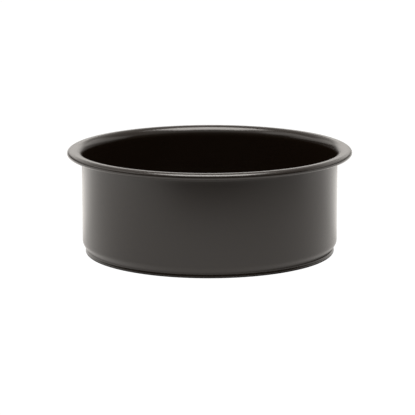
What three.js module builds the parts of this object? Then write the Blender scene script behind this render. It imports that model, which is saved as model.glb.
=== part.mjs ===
// A deep round cake pan with a loose base.
// The wall is one drawn sheet. Its rim flares outwards and is rolled over a wire, and its foot is
// drawn in to a seat band with a ledge. The base plate lies on the ledge until it is pushed up and out.
import * as THREE from "three";

// Driving sizes of the wall, in millimetres
const insideDiameter = 180;
const height = 74.2;
const wallSheet = 0.8;
const flareRadius = 6.2;
const crownFlat = 0.9;
const crownRadius = 5.6;
const crownDroop = THREE.MathUtils.degToRad(34);
const wireDiameter = 1.5;
const wireClearance = 0.3;
const rollGap = 0.3;
const shoulderHeight = 6.4;
const shoulderInset = 2.6;
const shoulderBend = 5.5;
const bandHeight = 2.9;
const bandProud = 0.5;
const footBend = 0.3;
const ledgeWidth = 8.5;

// Driving sizes of the base plate, in millimetres
const baseSheet = 1;
const seatClearance = 0.5;
const seatGap = 0.3;
const ringWidth = 4.5;
const ringSlope = 1.2;
const ringDepth = 0.8;
const ringClearance = 0.6;

// Finishes
const wallCoat = { color: 0x3e3835, roughness: 0.3, metalness: 0.1 };
const baseCoat = { color: 0x332d2a, roughness: 0.35, metalness: 0.1 };
const wireSteel = { color: 0xb4b6b8, roughness: 0.4, metalness: 1 };

// How finely the round stretches are cut
const turnSegments = 64;
const wireSides = 12;
const quarterSteps = 4;
const flareSteps = 5;
const crownSteps = 3;
const hollowSteps = 10;
const shoulderSteps = 4;
const creaseSteps = 3;
const footSteps = 5;

const quarterTurn = Math.PI / 2;
const halfTurn = Math.PI;
const fullTurn = 2 * Math.PI;

// Wall and rim: the flare is a quarter turn out of the wall to a narrow flat, the crown carries it over and
// down, and the roll closes under the crown, round the wire
const wallInside = insideDiameter / 2;
const wallOutside = wallInside + wallSheet;
const flareCentre = new THREE.Vector2(wallInside + flareRadius, height - flareRadius);
const flareUnderside = flareRadius - wallSheet;
const crownCentre = new THREE.Vector2(flareCentre.x + crownFlat, height - crownRadius);
const crownUnderside = crownRadius - wallSheet;
const crownEnd = quarterTurn - crownDroop;
const hollowRadius = wireDiameter / 2 + wireClearance;
const rollRadius = hollowRadius + wallSheet;
const centreDistance = crownRadius - rollRadius;
const rollCentre = new THREE.Vector2(Math.cos(crownEnd), Math.sin(crownEnd))
  .multiplyScalar(centreDistance)
  .add(crownCentre);

// The roll closes until its edge lies the roll gap below the crown's underside. The angle follows from
// the triangle between the crown's centre, the roll's centre and that edge.
const edgeDistance = crownUnderside - rollGap;
const edgeExcess = edgeDistance ** 2 - rollRadius ** 2 - centreDistance ** 2;
const edgeCosine = edgeExcess / (2 * rollRadius * centreDistance);
const rollEnd = crownEnd + Math.acos(edgeCosine) - fullTurn;

// Foot: the wall bends in to a straight shoulder that ends in the crease. Below the crease the seat band
// flares out again and turns under to the ledge. Each straight stretch is a tangent from the crease to a
// round, and its lean is the angle of the round's end.
const crease = new THREE.Vector2(wallOutside - shoulderInset, bandHeight);
const shoulderCentre = new THREE.Vector2(wallOutside - shoulderBend, bandHeight + shoulderHeight);
const shoulderReach = crease.clone().sub(shoulderCentre);
const shoulderSlant = Math.atan2(-shoulderReach.y, shoulderReach.x);
const shoulderLean = shoulderSlant - Math.acos(shoulderBend / shoulderReach.length());
const bandOutside = crease.x + bandProud;
const footRound = footBend + wallSheet;
const footCentre = new THREE.Vector2(bandOutside - footRound, footRound);
const bandReach = crease.clone().sub(footCentre);
const bandSlant = Math.atan2(bandReach.y, bandReach.x);
const bandLean = bandSlant - Math.acos(footRound / bandReach.length());
const ledgeEdge = bandOutside - wallSheet - ledgeWidth;
const ledgeEdgeRound = wallSheet / 2;
const ledgeEdgeCentre = new THREE.Vector2(ledgeEdge + ledgeEdgeRound, ledgeEdgeRound);

// Base plate: it passes the seat's tightest point, its edge lies inside the foot's bend, and its pressed
// ring drops inside the ledge's edge
const seatRadius = crease.x - wallSheet - seatClearance;
const baseEdgeRound = baseSheet / 2;
const baseRadius = Math.min(seatRadius, footCentre.x + baseEdgeRound);
const baseEdgeCentre = new THREE.Vector2(baseRadius - baseEdgeRound, baseEdgeRound);
const ringOutside = ledgeEdge - ringClearance;
const ringInside = ringOutside - ringWidth;

// Points along an arc of a section, both ends included
function arc(centre, radius, from, to, steps) {
  const points = [];
  for (let step = 0; step <= steps; step += 1) {
    const angle = from + ((to - from) * step) / steps;
    const reach = new THREE.Vector2(Math.cos(angle), Math.sin(angle)).multiplyScalar(radius);
    points.push(reach.add(centre));
  }
  return points;
}

// A solid turned about +Z from a section of distances from the axis (x) and levels (y)
function turned(section) {
  return new THREE.LatheGeometry(section, turnSegments).rotateX(quarterTurn);
}

// A named mesh at a level above the surface that the pan stands on
function piece(name, geometry, finish, level) {
  const mesh = new THREE.Mesh(geometry, new THREE.MeshStandardMaterial(finish));
  mesh.name = name;
  mesh.position.z = level;
  return mesh;
}

// The roll from its edge round to the crown, in stretches whose ends are its lowest and widest points
function rollSurface() {
  const under = arc(rollCentre, rollRadius, rollEnd, -quarterTurn, quarterSteps);
  const lower = arc(rollCentre, rollRadius, -quarterTurn, 0, quarterSteps);
  const upper = arc(rollCentre, rollRadius, 0, crownEnd, crownSteps);
  return [...under, ...lower.slice(1), ...upper.slice(1)];
}

// The sheet's section, from the ledge out round the foot, up the outside, round the roll and down the inside
function wallSection() {
  const section = [
    ...arc(footCentre, footRound, -quarterTurn, bandLean, footSteps),
    crease,
    ...arc(shoulderCentre, shoulderBend, -shoulderLean, 0, shoulderSteps),
    ...arc(flareCentre, flareUnderside, halfTurn, quarterTurn, flareSteps),
    ...arc(crownCentre, crownUnderside, quarterTurn, crownEnd, crownSteps),
    ...arc(rollCentre, hollowRadius, crownEnd, rollEnd, hollowSteps).slice(1),
    ...rollSurface(),
    ...arc(crownCentre, crownRadius, crownEnd, quarterTurn, crownSteps).slice(1),
    ...arc(flareCentre, flareRadius, quarterTurn, halfTurn, flareSteps),
    ...arc(shoulderCentre, shoulderBend - wallSheet, 0, -shoulderLean, shoulderSteps),
    ...arc(crease, wallSheet, halfTurn - shoulderLean, halfTurn + bandLean, creaseSteps),
    ...arc(footCentre, footBend, bandLean, -quarterTurn, footSteps),
    ...arc(ledgeEdgeCentre, ledgeEdgeRound, quarterTurn, quarterTurn + halfTurn, quarterSteps),
  ];
  return [...section, section[0]];
}

// One face of the base plate from the axis outwards, with the ring pressed down into it
function baseFace(level) {
  return [
    new THREE.Vector2(0, level),
    new THREE.Vector2(ringInside, level),
    new THREE.Vector2(ringInside + ringSlope, level - ringDepth),
    new THREE.Vector2(ringOutside - ringSlope, level - ringDepth),
    new THREE.Vector2(ringOutside, level),
  ];
}

function baseSection() {
  const edge = arc(baseEdgeCentre, baseEdgeRound, -quarterTurn, quarterTurn, quarterSteps);
  return [...baseFace(0), ...edge, ...baseFace(baseSheet).reverse()];
}

function panWall() {
  return piece("pan_wall", turned(wallSection()), wallCoat, 0);
}

function rimWire() {
  const hoop = new THREE.TorusGeometry(rollCentre.x, wireDiameter / 2, wireSides, turnSegments);
  return piece("rim_wire", hoop, wireSteel, rollCentre.y);
}

function looseBase() {
  return piece("loose_base", turned(baseSection()), baseCoat, wallSheet + seatGap);
}

const pan = new THREE.Group();
pan.add(panWall(), rimWire(), looseBase());

export default pan;
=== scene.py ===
# %% [markdown]
# A deep round cake pan with a loose base
#
# The pan is a drawn sheet of coated steel. Its wall stands upright, its rim flares out and is rolled
# over a wire, and its foot is drawn in to a seat for a plate that lifts out. Every piece here is a
# section turned about one axis, so the lesson is about one idea: a good section, worked out with
# numpy, makes a good solid. It starts by loading the imported model, which fixes every size and place.

# %% Load the frame
import math

import bpy
import numpy as np
from mathutils import Matrix, Vector


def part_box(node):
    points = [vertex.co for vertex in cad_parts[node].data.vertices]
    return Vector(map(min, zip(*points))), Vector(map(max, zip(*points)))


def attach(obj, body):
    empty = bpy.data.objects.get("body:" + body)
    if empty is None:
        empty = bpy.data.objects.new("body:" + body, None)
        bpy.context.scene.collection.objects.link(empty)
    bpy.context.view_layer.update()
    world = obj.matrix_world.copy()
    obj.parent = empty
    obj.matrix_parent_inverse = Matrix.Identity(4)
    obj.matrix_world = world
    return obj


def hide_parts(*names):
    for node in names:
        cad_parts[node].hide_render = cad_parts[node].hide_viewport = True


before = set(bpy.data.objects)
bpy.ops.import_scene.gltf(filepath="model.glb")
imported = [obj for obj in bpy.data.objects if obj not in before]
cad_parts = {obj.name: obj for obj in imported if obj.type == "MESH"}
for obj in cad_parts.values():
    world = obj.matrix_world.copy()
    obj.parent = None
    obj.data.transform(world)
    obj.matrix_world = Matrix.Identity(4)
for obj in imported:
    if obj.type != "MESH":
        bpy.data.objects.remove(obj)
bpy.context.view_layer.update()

# %% [markdown]
# Units and main sizes
#
# Blender works in metres, and sheet metal is measured in millimetres, so one value turns the second
# into the first. The pan's height is read from the frame. The wall's inside radius and its sheet are
# the sizes that a toolmaker would set first, and smaller ones follow in the steps that need them.
# Reading what the frame knows, and naming what it doesn't, keeps the dressed pan on the construction
# underneath it.

# %% Set the units and the main sizes
MM = 0.001
FULL_TURN = 2 * math.pi
HALF_TURN = math.pi
QUARTER_TURN = math.pi / 2

pan_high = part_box("pan_wall")[1]
pan_height = pan_high.z
wall_inside = 90 * MM
wall_sheet = 0.8 * MM
wall_outside = wall_inside + wall_sheet
print(f"pan {pan_high.x / MM:.1f} mm in radius, {pan_height / MM:.1f} mm high")

# %% [markdown]
# The rim
#
# The edge of a thin sheet cuts the hand and bends easily. So the rim flares outwards through a quarter
# turn, runs over a narrow flat into a crown that droops, and is rolled under round a wire. It could be
# drawn by eye as a curve, but each bend of the real rim is an arc with a centre and a radius, and arcs
# that share a tangent join smoothly. The roll closes until its edge nearly touches the underside of
# the crown. That angle comes from the triangle between the crown's centre, the roll's centre and the
# edge, by the law of cosines.

# %% Work out the rim's bends
flare_radius = 6.2 * MM
crown_flat = 0.9 * MM
crown_radius = 5.6 * MM
crown_droop = math.radians(34)
wire_clearance = 0.3 * MM
roll_gap = 0.3 * MM

wire_low, wire_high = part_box("rim_wire")
wire_radius = (wire_high.z - wire_low.z) / 2
flare_centre = np.array([wall_inside + flare_radius, pan_height - flare_radius])
crown_centre = np.array([flare_centre[0] + crown_flat, pan_height - crown_radius])
crown_end = QUARTER_TURN - crown_droop
hollow_radius = wire_radius + wire_clearance
roll_radius = hollow_radius + wall_sheet
centre_distance = crown_radius - roll_radius
roll_centre = crown_centre + centre_distance * np.array([math.cos(crown_end), math.sin(crown_end)])
edge_distance = crown_radius - wall_sheet - roll_gap
edge_excess = edge_distance**2 - roll_radius**2 - centre_distance**2
edge_cosine = edge_excess / (2 * roll_radius * centre_distance)
roll_end = crown_end + math.acos(edge_cosine) - FULL_TURN
print(f"roll centre {roll_centre / MM} mm, rolled by {math.degrees(crown_end - roll_end):.0f} degrees")

# %% [markdown]
# The foot
#
# At the foot the wall bends in to a straight shoulder, which ends at a sharp crease. Below it a seat
# band flares out a little and turns under to the ledge that carries the plate. A straight stretch
# between the crease and a bend is a tangent. Its end could be slid along until it looks right, but a
# little trigonometry finds the place, and finds it again when a size changes.

# %% Work out the foot's bends
shoulder_height = 6.4 * MM
shoulder_inset = 2.6 * MM
shoulder_bend = 5.5 * MM
band_height = 2.9 * MM
band_proud = 0.5 * MM
foot_bend = 0.3 * MM
ledge_width = 8.5 * MM


def tangent_lean(reach, radius):
    """Where a line from a point touches a round: the point's slant less acos(radius / reach)."""
    return math.atan2(abs(reach[1]), reach[0]) - math.acos(radius / np.linalg.norm(reach))


crease = np.array([wall_outside - shoulder_inset, band_height])
shoulder_centre = np.array([wall_outside - shoulder_bend, band_height + shoulder_height])
shoulder_lean = tangent_lean(crease - shoulder_centre, shoulder_bend)
band_outside = crease[0] + band_proud
foot_round = foot_bend + wall_sheet
foot_centre = np.array([band_outside - foot_round, foot_round])
band_lean = tangent_lean(crease - foot_centre, foot_round)
ledge_edge = band_outside - wall_sheet - ledge_width
ledge_round = wall_sheet / 2
ledge_centre = np.array([ledge_edge + ledge_round, ledge_round])
print(f"crease {crease / MM} mm, band leans {math.degrees(band_lean):.0f} degrees")

# %% [markdown]
# The strip of sheet
#
# Cut the pan through its axis and the wall is one strip of sheet, 0.8 mm thick. Its outside runs from
# the foot up to the roll, and its inside runs back down to the ledge. A Solidify modifier could thicken
# a single line. Here both faces are written out, with two arcs on one centre for each bend, because
# then both radii are exact and a change of the sheet moves the two faces together.

# %% Draw the strip
ARC_STEPS = 40


def arc(centre, radius, start, end):
    """Points on a circle: centre + radius * (cos a, sin a), with a going evenly from start to end."""
    angle = np.linspace(start, end, ARC_STEPS)
    return np.asarray(centre) + radius * np.column_stack([np.cos(angle), np.sin(angle)])


def wall_section():
    """The closed strip, as (distance from the axis, level): out along the foot, up, round and back."""
    outside = [
        arc(foot_centre, foot_round, -QUARTER_TURN, band_lean),
        [crease],
        arc(shoulder_centre, shoulder_bend, -shoulder_lean, 0),
        arc(flare_centre, flare_radius - wall_sheet, HALF_TURN, QUARTER_TURN),
        arc(crown_centre, crown_radius - wall_sheet, QUARTER_TURN, crown_end),
        arc(roll_centre, hollow_radius, crown_end, roll_end),
    ]
    inside = [
        arc(roll_centre, roll_radius, roll_end, crown_end),
        arc(crown_centre, crown_radius, crown_end, QUARTER_TURN),
        arc(flare_centre, flare_radius, QUARTER_TURN, HALF_TURN),
        arc(shoulder_centre, shoulder_bend - wall_sheet, 0, -shoulder_lean),
        arc(crease, wall_sheet, HALF_TURN - shoulder_lean, HALF_TURN + band_lean),
        arc(foot_centre, foot_bend, band_lean, -QUARTER_TURN),
        arc(ledge_centre, ledge_round, QUARTER_TURN, QUARTER_TURN + HALF_TURN),
    ]
    outline = np.vstack(outside + inside)
    return np.vstack([outline, outline[:1]])


print("strip drawn with", len(wall_section()), "points")

# %% [markdown]
# Soft corners
#
# A press can't fold a sheet to a perfect corner, and a render shows it: a corner with no radius catches
# no light. A Bevel modifier could round it, but on a thin closed sheet it is steadier to round the
# section before it is turned. The section is spaced evenly, and each point becomes the weighted mean
# of its neighbours, which rounds every corner alike and leaves straight stretches straight.

# %% Make the corner tools
STEPS_IN_REACH = 4
ZERO_ENDS = 2


def along(outline):
    """Distance along an outline at each of its points: the running sum of the steps between them."""
    steps = np.linalg.norm(np.diff(outline, axis=0), axis=1)
    return np.concatenate([[0], np.cumsum(steps)])


def at(outline, measure, places):
    """The outline's points where a rising measure takes the given values, on straight steps between."""
    return np.column_stack([np.interp(places, measure, axis) for axis in outline.T])


def soften(outline, reach, closed):
    """The outline with rounded corners: each point is a bell-weighted mean of those within reach."""
    length = along(outline)
    count = int(length[-1] / (reach / STEPS_IN_REACH))
    even = at(outline, length, np.linspace(0, length[-1], count, endpoint=not closed))
    weights = np.hanning(2 * STEPS_IN_REACH + 1 + ZERO_ENDS)[1:-1]
    weights /= weights.sum()
    margin = (STEPS_IN_REACH, STEPS_IN_REACH)
    padded = np.pad(even, (margin, (0, 0)), mode="wrap" if closed else "edge")
    return np.column_stack([np.convolve(axis, weights, mode="valid") for axis in padded.T])


print("corners are softened over", 2 * STEPS_IN_REACH + 1, "points")

# %% [markdown]
# Points where they are needed
#
# A straight wall needs few points and the roll needs many. A Decimate modifier could thin an even
# mesh, but it leaves triangles of all shapes. So the points are chosen on the section: the measure that
# is shared out evenly is the bend, plus a little for the length, so that long stretches get some too.

# %% Make the choosing tool
straight_step = 6 * MM


def pick(outline, count):
    """A count of an outline's points, spread evenly over its bend plus its length in straight steps."""
    heading = np.unwrap(np.arctan2(*np.diff(outline, axis=0).T[::-1]))
    bend = np.abs(np.diff(heading, prepend=heading[0]))
    lengths = np.diff(along(outline)) / straight_step
    measure = np.concatenate([[0], np.cumsum(bend + lengths)])
    return at(outline, measure, np.linspace(0, measure[-1], count))


print(f"a straight {straight_step / MM:.0f} mm counts as much as a bend of one radian")

# %% [markdown]
# From points to a piece
#
# Blender keeps a mesh as points and faces, and from_pydata takes both at once, which is quicker and
# clearer than adding faces one by one. How sharply the section bends is stored on the mesh too, as an
# attribute. A coat is rubbed first where the sheet bends, so the finish will read it later.

# %% Make the piece function
tight_radius = 0.5 * MM


def bend_of(outline):
    """Curvature |x'z'' - z'x''| / (x'^2 + z'^2)^1.5, times the tight radius and held at 1."""
    slope = np.gradient(outline, axis=0)
    change = np.gradient(slope, axis=0)
    speed = np.maximum(np.linalg.norm(slope, axis=1), np.finfo(float).eps)
    curvature = (slope[:, 0] * change[:, 1] - slope[:, 1] * change[:, 0]) / speed**3
    return np.clip(np.abs(curvature) * tight_radius, 0, 1)


def piece_of(name, points, faces, bend):
    """An object from points and faces, shaded smooth, with the bend at each point as an attribute."""
    mesh = bpy.data.meshes.new(name)
    mesh.from_pydata(points, [], faces)
    attribute = mesh.attributes.new("bend", "FLOAT", "POINT")
    attribute.data.foreach_set("value", bend.astype(np.float32))
    mesh.shade_smooth()
    piece = bpy.data.objects.new(name, mesh)
    bpy.context.scene.collection.objects.link(piece)
    print(f"{name}: {len(mesh.vertices)} points, {len(mesh.polygons)} faces")
    return piece


print(f"a bend of {tight_radius / MM} mm counts as fully tight")

# %% [markdown]
# Turning a section
#
# Blender's Screw modifier and Spin tool both turn an outline about an axis. Here the surface is worked
# out instead: it is a function of two parameters, the turn angle and the place along the outline, so
# one array product gives all its points at once. The seam is closed by wrapping the last turn step
# back to the first. An outline that starts and ends on the axis gets one point at each end, and a fan
# of triangles round it.

# %% Make the turning function
TURN_STEPS = 512


def fans(outline, place, after, points):
    """The points with the outline's two ends on the axis added, and the triangles round those ends."""
    ends = [(0, 0, outline[0, 1]), (0, 0, outline[-1, 1])]
    under = np.full(TURN_STEPS, len(points))
    first = np.column_stack([under, after[:, 0], place[:, 0]])
    last = np.column_stack([place[:, -1], after[:, -1], under + 1])
    return np.vstack([points, ends]), first.tolist() + last.tolist()


def turned(name, outline, closed):
    """Point (i, j) is (r_j cos a_i, r_j sin a_i, z_j): the outline's point j at turn angle a_i."""
    angle = np.arange(TURN_STEPS) * FULL_TURN / TURN_STEPS
    ring = outline if closed else outline[1:-1]
    radius, level = ring.T
    levels = np.tile(level, (TURN_STEPS, 1))
    grid = [np.outer(np.cos(angle), radius), np.outer(np.sin(angle), radius), levels]
    points = np.stack(grid, axis=-1).reshape(levels.size, -1)
    bend = np.tile(bend_of(ring), TURN_STEPS)
    place = np.arange(len(points)).reshape(TURN_STEPS, -1)
    if closed:
        place = np.column_stack([place, place[:, 0]])
    after = np.roll(place, -1, axis=0)
    corners = [place[:, :-1], after[:, :-1], after[:, 1:], place[:, 1:]]
    faces = np.stack(corners, axis=-1).reshape(corners[0].size, -1).tolist()
    if not closed:
        points, triangles = fans(outline, place, after, points)
        faces += triangles
        bend = np.append(bend, [0, 0])
    return piece_of(name, points, faces, bend)


print("each outline is turned in", TURN_STEPS, "steps")

# %% [markdown]
# The pan's wall
#
# The real wall is drawn from one sheet, pressed in at the foot and rolled at the rim. It could be built
# as a wall, a rim and a foot apart, but then the seams between them would show. So the whole strip is
# softened by a few tenths of a millimetre, which is what the crease and the cut edges of a pressed and
# coated sheet show, and turned in one go. It stands for the wall of the frame and moves with the pan.

# %% Build the wall
WALL_POINTS = 180
corner_reach = 0.16 * MM

wall_outline = pick(soften(wall_section(), corner_reach, closed=True), WALL_POINTS)
wall = turned("wall_sheet", wall_outline[:-1], closed=True)
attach(wall, "pan")
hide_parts("pan_wall")

# %% [markdown]
# The rim's wire
#
# A hoop of drawn steel wire gives the thin rim its stiffness. The sheet is closed over it, so nothing
# shows but a glint through the roll's narrow gap. Blender has a torus for this, but here the wire is a
# circle turned like every other outline, so that it gets the same seam and the same attribute.

# %% Build the wire
WIRE_POINTS = 32

wire_angle = np.arange(WIRE_POINTS) * FULL_TURN / WIRE_POINTS
wire_outline = roll_centre + wire_radius * np.column_stack([np.cos(wire_angle), np.sin(wire_angle)])
wire = turned("rim_hoop", wire_outline, closed=True)
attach(wire, "pan")
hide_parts("rim_wire")

# %% [markdown]
# The loose base
#
# The plate lies on the ledge. A ring is pressed down into it just inside the ledge, which keeps the
# thin sheet flat in the oven and keeps the plate in the middle. A flat cylinder would do from afar, but
# the ring shows as soon as the plate is lifted. Its section starts and ends on the axis, so it is
# turned as an open outline, and the two fans close it.

# %% Build the base
BASE_POINTS = 150
base_sheet = 1 * MM
ring_width = 4.5 * MM
ring_slope = 1.2 * MM
ring_depth = 0.8 * MM
ring_clearance = 0.6 * MM
base_corner_reach = 0.3 * MM

base_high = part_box("loose_base")[1]
base_radius = base_high.x
base_level = base_high.z - base_sheet
ring_outside = ledge_edge - ring_clearance
ring_inside = ring_outside - ring_width
base_round = base_sheet / 2


def base_section():
    """From the axis out along the underside, round the edge, and back along the top to the axis."""
    ring = np.array([
        [0, 0],
        [ring_inside, 0],
        [ring_inside + ring_slope, -ring_depth],
        [ring_outside - ring_slope, -ring_depth],
        [ring_outside, 0],
    ])
    under = ring + [0, base_level]
    over = ring + [0, base_level + base_sheet]
    edge_centre = [base_radius - base_round, base_level + base_round]
    edge = arc(edge_centre, base_round, -QUARTER_TURN, QUARTER_TURN)
    return np.vstack([under, edge, over[::-1]])


base_outline = pick(soften(base_section(), base_corner_reach, closed=False), BASE_POINTS)
base_outline[[0, -1], 0] = 0
base = turned("base_plate", base_outline, closed=False)
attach(base, "base")
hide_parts("loose_base")

# %% [markdown]
# Helpers for node trees
#
# Materials and lights in Blender are trees of nodes. Drawing them by hand is good for trying things
# out. In a script, a few small helpers keep the trees readable. The first four add a node and set its
# values, make noise, carry a value from 0 to 1 into a range, and mix two colours.

# %% Make the first node helpers


def add(tree, kind, **values):
    """A node of the given kind, with its properties and its named inputs set."""
    node = tree.nodes.new(kind)
    for name, value in values.items():
        if hasattr(node, name):
            setattr(node, name, value)
        else:
            node.inputs[name].default_value = value
    return node


def noise(tree, vector, scale, detail):
    """Noise from 0 to 1, with the scale counted in features to a metre."""
    node = add(tree, "ShaderNodeTexNoise", Scale=scale, Detail=detail)
    tree.links.new(vector, node.inputs["Vector"])
    return node.outputs["Fac"]


def spread(tree, value, low, high):
    """A value from 0 to 1 carried to the range between two sockets."""
    node = add(tree, "ShaderNodeMapRange")
    for name, source in (("Value", value), ("To Min", low), ("To Max", high)):
        tree.links.new(source, node.inputs[name])
    return node.outputs["Result"]


def mixed(tree, factor, first, second):
    """Two colours mixed by a factor."""
    node = add(tree, "ShaderNodeMix", data_type="RGBA")
    for name, source in (("Factor", factor), ("A", first), ("B", second)):
        tree.links.new(source, node.inputs[name])
    return node.outputs["Result"]


print("helpers:", [helper.__name__ for helper in (add, noise, spread, mixed)])

# %% [markdown]
# The sprayed coat
#
# Wall and base carry the same baked-on coat: a warm brown-black, satin, with the very fine skin that
# spraying leaves. Both materials need it, so it is a node group, made once, that gives a colour, a
# roughness and a height. Noise over centimetres stands for an uneven thickness and noise far below a
# millimetre for the skin. An image could carry both, but noise needs no unwrapping and shows no seam.
# The shader itself stays in each material, where its other values can be set.

# %% Make the coat group
mottle_scale = 22.0
mottle_detail = 3.0
skin_scale = 1400.0
skin_detail = 2.0
COLOUR = "NodeSocketColor"
VALUE = "NodeSocketFloat"
VECTOR = "NodeSocketVector"


def sockets(group, way, **kinds):
    """Adds a group's inputs or outputs, each with its name and kind."""
    for name, kind in kinds.items():
        group.interface.new_socket(name=name, in_out=way, socket_type=kind)


def sprayed_coat_group():
    """Mottle mixes the thin and the thick colour and sets the roughness, the skin is the height."""
    group = bpy.data.node_groups.new("sprayed_coat", "ShaderNodeTree")
    sockets(group, "INPUT", Vector=VECTOR, Thin=COLOUR, Thick=COLOUR, Smooth=VALUE, Rough=VALUE)
    sockets(group, "OUTPUT", Color=COLOUR, Roughness=VALUE, Height=VALUE)
    given = group.nodes.new("NodeGroupInput").outputs
    result = group.nodes.new("NodeGroupOutput").inputs
    mottle = noise(group, given["Vector"], mottle_scale, mottle_detail)
    skin = noise(group, given["Vector"], skin_scale, skin_detail)
    group.links.new(mixed(group, mottle, given["Thin"], given["Thick"]), result["Color"])
    group.links.new(spread(group, mottle, given["Smooth"], given["Rough"]), result["Roughness"])
    group.links.new(skin, result["Height"])
    return group


sprayed_coat = sprayed_coat_group()
print("group:", sprayed_coat.name, [item.name for item in sprayed_coat.interface.items_tree])

# %% [markdown]
# Ramps and products
#
# Wear, floor light and studio light all change from one value to another over a stretch. A ramp does
# that. It is given as two pairs: where it starts and ends, and what it gives there. Several ramps are
# then multiplied or added. A Color Ramp node could do the first, but Map Range keeps its four numbers
# in plain sight and isn't held between 0 and 1.

# %% Make the ramp and the product


def ramp(tree, value, span, ends):
    """A value carried smoothly from the first end to the second over its span, and held beyond it."""
    node = add(tree, "ShaderNodeMapRange", interpolation_type="SMOOTHSTEP")
    limits = {"From Min": span[0], "From Max": span[1], "To Min": ends[0], "To Max": ends[1]}
    for name, limit in limits.items():
        node.inputs[name].default_value = limit
    tree.links.new(value, node.inputs["Value"])
    return node.outputs["Result"]


def combine(tree, operation, *values):
    """The values taken together, from first to last, by one arithmetic operation."""
    result = values[0]
    for value in values[1:]:
        node = add(tree, "ShaderNodeMath", operation=operation)
        tree.links.new(result, node.inputs[0])
        tree.links.new(value, node.inputs[1])
        result = node.outputs["Value"]
    return result


print("helpers:", [helper.__name__ for helper in (ramp, combine)])

# %% [markdown]
# Rubbed bends
#
# A pan is stacked, slid over oven shelves and wiped, and its tight bends take most of that. They get a
# little lighter and smoother than the rest. Scratches could be painted by hand, but the bend is already
# stored on the mesh. The second group takes it, with the colour and the roughness of the coat, and
# gives both back with the bends rubbed. Noise breaks the rubbing up. This pan looks nearly new, so the
# share is kept small.

# %% Make the rubbing group
rub_scale = 160.0
rub_detail = 4.0
rub_bend = ((0.25, 0.9), (0.0, 1.0))
rub_patches = ((0.42, 0.62), (0.0, 0.3))


def rubbed_bends_group():
    """Share = ramp of the bend times ramp of the noise, colour and roughness mix by that share."""
    group = bpy.data.node_groups.new("rubbed_bends", "ShaderNodeTree")
    sockets(group, "INPUT", Vector=VECTOR, Bend=VALUE, Color=COLOUR, Rubbed=COLOUR)
    sockets(group, "INPUT", Roughness=VALUE, Polished=VALUE)
    sockets(group, "OUTPUT", Color=COLOUR, Roughness=VALUE)
    given = group.nodes.new("NodeGroupInput").outputs
    result = group.nodes.new("NodeGroupOutput").inputs
    patches = noise(group, given["Vector"], rub_scale, rub_detail)
    bent = ramp(group, given["Bend"], *rub_bend)
    share = combine(group, "MULTIPLY", bent, ramp(group, patches, *rub_patches))
    group.links.new(mixed(group, share, given["Color"], given["Rubbed"]), result["Color"])
    group.links.new(spread(group, share, given["Roughness"], given["Polished"]), result["Roughness"])
    return group


rubbed_bends = rubbed_bends_group()
print("group:", rubbed_bends.name, [item.name for item in rubbed_bends.interface.items_tree])

# %% [markdown]
# The coat's two materials
#
# The dark coat reflects almost nothing by its own colour. What is seen on the pan is mostly the studio
# mirrored in the coat's surface, so roughness matters more than colour: low enough to hold the bright
# line on the rim, high enough to blur the floor's edge on the wall. The base is the same coat, a
# little rougher, since cake tins are wiped and scraped there. One function makes both materials.

# %% Finish the wall and the base
coat_index = 1.5
coat_thin = (0.0088, 0.0052, 0.0028, 1)
coat_thick = (0.01, 0.0059, 0.0032, 1)
coat_rubbed = (0.03, 0.023, 0.017, 1)
coat_polished = 0.18
wall_smooth = 0.2
wall_rough = 0.24
wall_skin = 0.003 * MM
base_smooth = 0.24
base_rough = 0.3
base_skin = 0.004 * MM
BUMP_STRENGTH = 1.0


def group_node(tree, group, **values):
    """A node that holds a group, with its named inputs set."""
    node = tree.nodes.new("ShaderNodeGroup")
    node.node_tree = group
    for name, value in values.items():
        node.inputs[name].default_value = value
    return node


def coat_material(name, smooth, rough, skin):
    """The sprayed coat, its bends rubbed, feeds colour and roughness, and its skin feeds the bump."""
    material = bpy.data.materials.new(name)
    material.use_nodes = True
    tree = material.node_tree
    link = tree.links.new
    shader = tree.nodes["Principled BSDF"]
    shader.inputs["IOR"].default_value = coat_index
    place = tree.nodes.new("ShaderNodeTexCoord").outputs["Object"]
    bend = add(tree, "ShaderNodeAttribute", attribute_name="bend").outputs["Fac"]
    coat = group_node(tree, sprayed_coat, Thin=coat_thin, Thick=coat_thick, Smooth=smooth, Rough=rough)
    rubbed = group_node(tree, rubbed_bends, Rubbed=coat_rubbed, Polished=coat_polished)
    bump = add(tree, "ShaderNodeBump", Strength=BUMP_STRENGTH, Distance=skin)
    link(place, coat.inputs["Vector"])
    link(place, rubbed.inputs["Vector"])
    link(bend, rubbed.inputs["Bend"])
    link(coat.outputs["Color"], rubbed.inputs["Color"])
    link(coat.outputs["Roughness"], rubbed.inputs["Roughness"])
    link(rubbed.outputs["Color"], shader.inputs["Base Color"])
    link(rubbed.outputs["Roughness"], shader.inputs["Roughness"])
    link(coat.outputs["Height"], bump.inputs["Height"])
    link(bump.outputs["Normal"], shader.inputs["Normal"])
    return material


wall.data.materials.append(coat_material("wall_coat", wall_smooth, wall_rough, wall_skin))
base.data.materials.append(coat_material("base_coat", base_smooth, base_rough, base_skin))
print("coated:", [piece.name for piece in (wall, base)])

# %% [markdown]
# Drawn steel
#
# Wire is pulled through a die, which leaves fine lines along it. Along a hoop means round the pan's
# axis, so the noise is made from two measures that stay the same all the way round: the distance from
# the axis and the level. That turns every speck of noise into a line. It could be done with a UV map
# as well, but the two measures need no unwrapping.

# %% Finish the wire
steel_colour = (0.46, 0.47, 0.48, 1)
steel_metallic = 1
line_scale = 9000.0
line_detail = 2.0
line_rough = ((0.3, 0.7), (0.3, 0.45))
line_depth = 0.002 * MM
NO_LEVEL = (1, 1, 0)


def axes_of(tree, vector):
    """The three axes of a vector."""
    node = tree.nodes.new("ShaderNodeSeparateXYZ")
    tree.links.new(vector, node.inputs[0])
    return node.outputs["X"], node.outputs["Y"], node.outputs["Z"]


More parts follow.
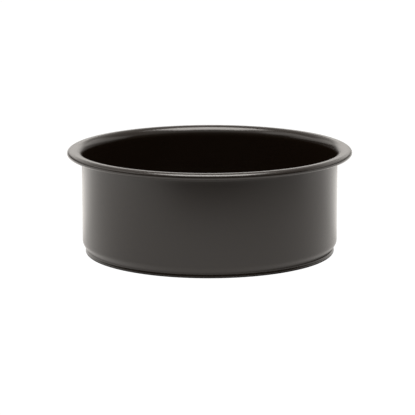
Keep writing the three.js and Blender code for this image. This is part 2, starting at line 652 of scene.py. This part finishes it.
def drawn_steel():
    """Noise over (distance from the axis, level) gives the lines, for the roughness and the bump."""
    material = bpy.data.materials.new("wire_steel")
    material.use_nodes = True
    tree = material.node_tree
    link = tree.links.new
    shader = tree.nodes["Principled BSDF"]
    shader.inputs["Base Color"].default_value = steel_colour
    shader.inputs["Metallic"].default_value = steel_metallic
    place = tree.nodes.new("ShaderNodeTexCoord").outputs["Object"]
    level = axes_of(tree, place)[-1]
    flat = add(tree, "ShaderNodeVectorMath", operation="MULTIPLY")
    flat.inputs[1].default_value = NO_LEVEL
    outward = add(tree, "ShaderNodeVectorMath", operation="LENGTH")
    across = tree.nodes.new("ShaderNodeCombineXYZ")
    bump = add(tree, "ShaderNodeBump", Strength=BUMP_STRENGTH, Distance=line_depth)
    link(place, flat.inputs[0])
    link(flat.outputs["Vector"], outward.inputs[0])
    link(outward.outputs["Value"], across.inputs["X"])
    link(level, across.inputs["Y"])
    lines = noise(tree, across.outputs["Vector"], line_scale, line_detail)
    link(ramp(tree, lines, *line_rough), shader.inputs["Roughness"])
    link(lines, bump.inputs["Height"])
    link(bump.outputs["Normal"], shader.inputs["Normal"])
    return material


wire.data.materials.append(drawn_steel())
print("materials:", [piece.data.materials[0].name for piece in (wall, base, wire)])

# %% [markdown]
# A studio with two faces
#
# The photograph is a cut-out on pure white, but the coat still mirrors the table and the room that the
# pan stood in. A lit floor would show its own shading round the pan. So floor and room each have two
# faces: the camera sees an even white, and the pan sees a light that changes from place to place. The
# Light Path node tells the two apart, and one function joins them for both.

# %% Make the two faces
CAMERA_WHITE = 1.05
LIGHT_TINT = (1.04, 1.0, 0.955, 1)
WHITE = (1, 1, 1, 1)


def two_faced(tree, kind, output_kind, strength):
    """Joins an even white for the camera and a tinted light of the given strength for all else."""
    output = tree.nodes.new(output_kind)
    path = tree.nodes.new("ShaderNodeLightPath")
    choose = tree.nodes.new("ShaderNodeMixShader")
    shaded = add(tree, kind, Color=LIGHT_TINT)
    even = add(tree, kind, Color=WHITE, Strength=CAMERA_WHITE)
    tree.links.new(strength, shaded.inputs["Strength"])
    sources = (path.outputs["Is Camera Ray"], shaded.outputs[0], even.outputs[0])
    for source, place in zip(sources, choose.inputs):
        tree.links.new(source, place)
    tree.links.new(choose.outputs[0], output.inputs["Surface"])


print("the camera's white is", CAMERA_WHITE)

# %% [markdown]
# The light of the floor
#
# The table that the coat mirrors is bright to the left and close behind the pan. It falls off further
# back and towards the camera, gets brighter again far away, and is black where the foot touches it.
# That contact shadow reaches a little further out on the right, away from the stronger light. Lamps
# over a white plane could give all this, but each would move every tone at once. Here each fall or rise
# is one ramp, over metres of floor or over a heading, and the light is their product, so each tone can
# be set by itself.

# %% Make the floor's light
contact_shade = ((0.0885, 0.091), (0.0, 1.0))
contact_lean = ((0.0, 0.09), (0.0, -0.001))
near_shade = ((0.09, 0.135), (0.9, 1.0))
side_fall = ((-0.42, 0.42), (1.32, 1.09))
front_fall = ((-0.42, -0.355), (0.05, 1.0))
back_rise = ((0.2, 0.75), (1.0, 1.38))
back_fall = ((0.24, 0.42), (1.0, 0.35))
far_rise = ((0.5, 0.9), (1.0, 2.4))
distance_fall = ((0.26, 0.42), (0.0, 0.4))
not_left = ((-0.75, -0.2), (0.0, 1.0))
not_behind = ((-0.35, 0.15), (1.0, 0.0))
FULL_LIGHT = 1


def floor_light(tree):
    """Light = (1 - share lost far out at the front and right) * falls by side, ring, front and back."""
    place = tree.nodes.new("ShaderNodeTexCoord").outputs["Object"]
    length = add(tree, "ShaderNodeVectorMath", operation="LENGTH")
    heading = add(tree, "ShaderNodeVectorMath", operation="NORMALIZE")
    tree.links.new(place, length.inputs[0])
    tree.links.new(place, heading.inputs[0])
    distance = length.outputs["Value"]
    right, back, _ = axes_of(tree, place)
    right_turn, back_turn, _ = axes_of(tree, heading.outputs["Vector"])
    turned_away = [ramp(tree, right_turn, *not_left), ramp(tree, back_turn, *not_behind)]
    lost = combine(tree, "MULTIPLY", ramp(tree, distance, *distance_fall), *turned_away)
    kept = add(tree, "ShaderNodeMath", operation="SUBTRACT")
    kept.inputs[0].default_value = FULL_LIGHT
    tree.links.new(lost, kept.inputs[1])
    from_contact = combine(tree, "ADD", distance, ramp(tree, right, *contact_lean))
    falls = [ramp(tree, right, *side_fall)]
    falls += [ramp(tree, distance, *ring) for ring in (near_shade, far_rise)]
    falls.append(ramp(tree, from_contact, *contact_shade))
    falls += [ramp(tree, back, *end) for end in (front_fall, back_fall)]
    falls.append(ramp(tree, back_turn, *back_rise))
    return combine(tree, "MULTIPLY", kept.outputs["Value"], *falls)


print("the contact shadow ends", contact_shade[0][1] / MM, "mm from the axis")

# %% [markdown]
# The white floor
#
# The floor is one large face, a hair below the foot so that the two don't fight for the same pixels. A
# plane from Blender's menu would do as well, but four corners are as quick to write. It belongs to the
# picture and not to the pan.

# %% Lay the floor
FLOOR_HALF = 6.0
floor_drop = 0.1 * MM


def floor_material():
    """Gives off light by itself: even white for the camera, the floor's light for the pan."""
    material = bpy.data.materials.new("floor_white")
    material.use_nodes = True
    tree = material.node_tree
    tree.nodes.clear()
    two_faced(tree, "ShaderNodeEmission", "ShaderNodeOutputMaterial", floor_light(tree))
    return material


floor_corners = np.array([(-1, -1, 0), (1, -1, 0), (1, 1, 0), (-1, 1, 0)]) * FLOOR_HALF
floor_mesh = bpy.data.meshes.new("floor")
floor_mesh.from_pydata(floor_corners - [0, 0, floor_drop], [], [(0, 1, 2, 3)])
floor_mesh.materials.append(floor_material())
floor = bpy.data.objects.new("floor", floor_mesh)
bpy.context.scene.collection.objects.link(floor)
print(f"floor {2 * FLOOR_HALF:.0f} m across")

# %% [markdown]
# The studio's walls
#
# The world stands for the room. Behind the table hangs a bright backdrop, whose lower part makes the
# first light line along the rim, and it ends at the left and right. Above its two sides hang dim wings,
# which light the rim where it turns towards its ends, and a low glow runs along the horizon. The rest
# of the room is nearly dark, with a soft glow higher up, mostly in front. A picture of a studio wrapped
# round the scene could do this too, but its tones can't be set one by one. Here the direction of each
# ray picks the brightness, again by ramps.

# %% Make the studio's world
backdrop_front = ((0.0, 0.3), (0.0, 1.68))
backdrop_top = ((0.31, 0.38), (1.0, 0.1))
backdrop_foot = ((0.0, 0.28), (0.3, 1.0))
backdrop_left = ((-0.45, -0.2), (0.05, 1.0))
backdrop_right = ((0.15, 0.5), (1.0, 0.2))
wing_side = ((0.04, 0.14), (0.0, 0.3))
wing_foot = ((0.28, 0.36), (0.0, 1.0))
wing_top = ((0.5, 0.66), (1.0, 0.0))
room_glow = ((0.33, 0.62), (0.05, 0.6))
room_back = ((-0.3, 0.2), (1.0, 0.6))
horizon_glow = ((0.0, 0.08), (0.6, 0.0))
horizon_front = ((-0.2, 0.15), (0.0, 1.0))


def studio_light(tree):
    """Light = backdrop + glow + horizon + wings, each the product of its ramps over the direction."""
    direction = tree.nodes.new("ShaderNodeTexCoord").outputs["Generated"]
    right, back, up = axes_of(tree, direction)
    across = add(tree, "ShaderNodeMath", operation="ABSOLUTE")
    tree.links.new(right, across.inputs[0])
    behind = ramp(tree, back, *horizon_front)
    backdrop = [ramp(tree, back, *backdrop_front)]
    backdrop += [ramp(tree, up, *end) for end in (backdrop_top, backdrop_foot)]
    backdrop += [ramp(tree, right, *end) for end in (backdrop_left, backdrop_right)]
    glow = [ramp(tree, up, *room_glow), ramp(tree, back, *room_back)]
    horizon = [ramp(tree, up, *horizon_glow), behind]
    wings = [ramp(tree, across.outputs["Value"], *wing_side), behind]
    wings += [ramp(tree, up, *end) for end in (wing_foot, wing_top)]
    lights = [combine(tree, "MULTIPLY", *ramps) for ramps in (backdrop, glow, horizon, wings)]
    return combine(tree, "ADD", *lights)


world = bpy.data.worlds.new("studio")
world.use_nodes = True
room = world.node_tree
room.nodes.clear()
two_faced(room, "ShaderNodeBackground", "ShaderNodeOutputWorld", studio_light(room))
bpy.context.scene.world = world
bpy.context.scene.view_settings.view_transform = "Standard"
print("world:", world.name, "with", len(room.nodes), "nodes")

# %% [markdown]
# The softboxes
#
# The second light line on the rim is narrower and runs all the way round, which only a light high over
# the pan can draw. Three larger, weaker boxes stand at the sides and fill the flare between the lines.
# They could be painted into the world too, but a near lamp lights each end of the rim differently.
# Area lights are given in watts, and what a reflection shows is radiance, so each box is set by its
# radiance, and its power follows from its area. They are hidden from the camera but not from mirrors.

# %% Hang the softboxes
overhead_height = 0.8
overhead_half_angle = math.radians(20)
overhead_radiance = 8.5
side_distance = 1.35


def softbox(name, place, target, across, deep, radiance):
    """A lit rectangle that faces the target. Power = radiance * pi * area."""
    light = bpy.data.lights.new(name, "AREA")
    light.shape = "RECTANGLE"
    light.color = LIGHT_TINT[:3]
    light.size = across
    light.size_y = deep
    light.energy = radiance * math.pi * across * deep
    box = bpy.data.objects.new(name, light)
    box.location = place
    box.rotation_euler = (target - place).to_track_quat("-Z", "Y").to_euler()
    box.visible_camera = False
    bpy.context.scene.collection.objects.link(box)
    print(f"{name}: {across:.2f} by {deep:.2f} m, {light.energy:.1f} W")


def side_box(name, bearing, low, high, across, radiance):
    """A softbox at a bearing in degrees from straight behind the pan, between two levels."""
    turn = math.radians(bearing)
    level = (low + high) / 2
    place = Vector((side_distance * math.sin(turn), side_distance * math.cos(turn), level))
    softbox(name, place, Vector((0, 0, level)), across, high - low, radiance)


rim_middle = Vector((0, 0, pan_height))
overhead_place = rim_middle + Vector((0, 0, overhead_height))
overhead_side = 2 * overhead_height * math.tan(overhead_half_angle)
softbox("overhead_box", overhead_place, rim_middle, overhead_side, overhead_side, overhead_radiance)
side_box("left_low_box", bearing=-57, low=0.49, high=1.0, across=2.0, radiance=0.75)
side_box("right_low_box", bearing=57, low=0.48, high=1.12, across=2.0, radiance=0.68)
side_box("left_high_box", bearing=-86, low=1.0, high=2.2, across=1.7, radiance=1.1)

# %% [markdown]
# The camera
#
# The photograph was taken with a long lens from a little above the rim: the rim's ellipse gives the
# height of the view, and how much larger the near side is than the far side gives the distance. The
# lens, the distance and the turn come from fitting the pan's outline. The pan isn't in the middle of
# the picture. A lens shift could move it, but it would move it in every other view too, so the camera
# is turned until the pan's middle falls on the pixel where it was found.

# %% Place the camera
IMAGE_SIZE = 415
SENSOR_WIDTH = 36.0
LENS = 194.6
MATRIX_SIZE = 4
camera_distance = 1.6
camera_reach = 50
camera_elevation = math.radians(11.5)
camera_roll = math.radians(-0.13)
aim_level = 37 * MM
aim_pixel = (209.66, 199.16)

camera_data = bpy.data.cameras.new("camera")
camera_data.lens = LENS
camera_data.sensor_width = SENSOR_WIDTH
camera_data.clip_end = camera_reach
camera = bpy.data.objects.new("camera", camera_data)
bpy.context.scene.collection.objects.link(camera)
bpy.context.scene.camera = camera
back = Vector((0, -math.cos(camera_elevation), math.sin(camera_elevation)))
right = Vector((1, 0, 0))
up = back.cross(right)
pixels_per_slope = LENS / SENSOR_WIDTH * IMAGE_SIZE
slope_right = (aim_pixel[0] - IMAGE_SIZE / 2) / pixels_per_slope
slope_up = (IMAGE_SIZE / 2 - aim_pixel[1]) / pixels_per_slope
view_back = (back + slope_right * right + slope_up * up).normalized()
view_turn = view_back.to_track_quat("Z", "Y").to_matrix().to_4x4()
view_turn = view_turn @ Matrix.Rotation(camera_roll, MATRIX_SIZE, "Z")
camera_place = Vector((0, 0, aim_level)) + camera_distance * back
camera.matrix_world = Matrix.Translation(camera_place) @ view_turn
print(f"camera {camera_distance} m away, {math.degrees(camera_elevation):.1f} degrees above the floor")

# %% [markdown]
# Bring the scene up to date
#
# A dressed model must fill the same room as the construction under it, or it won't fit where the part
# is used. The last step brings the places of all the pieces in the scene up to date.

# %% Update the scene
bpy.context.view_layer.update()
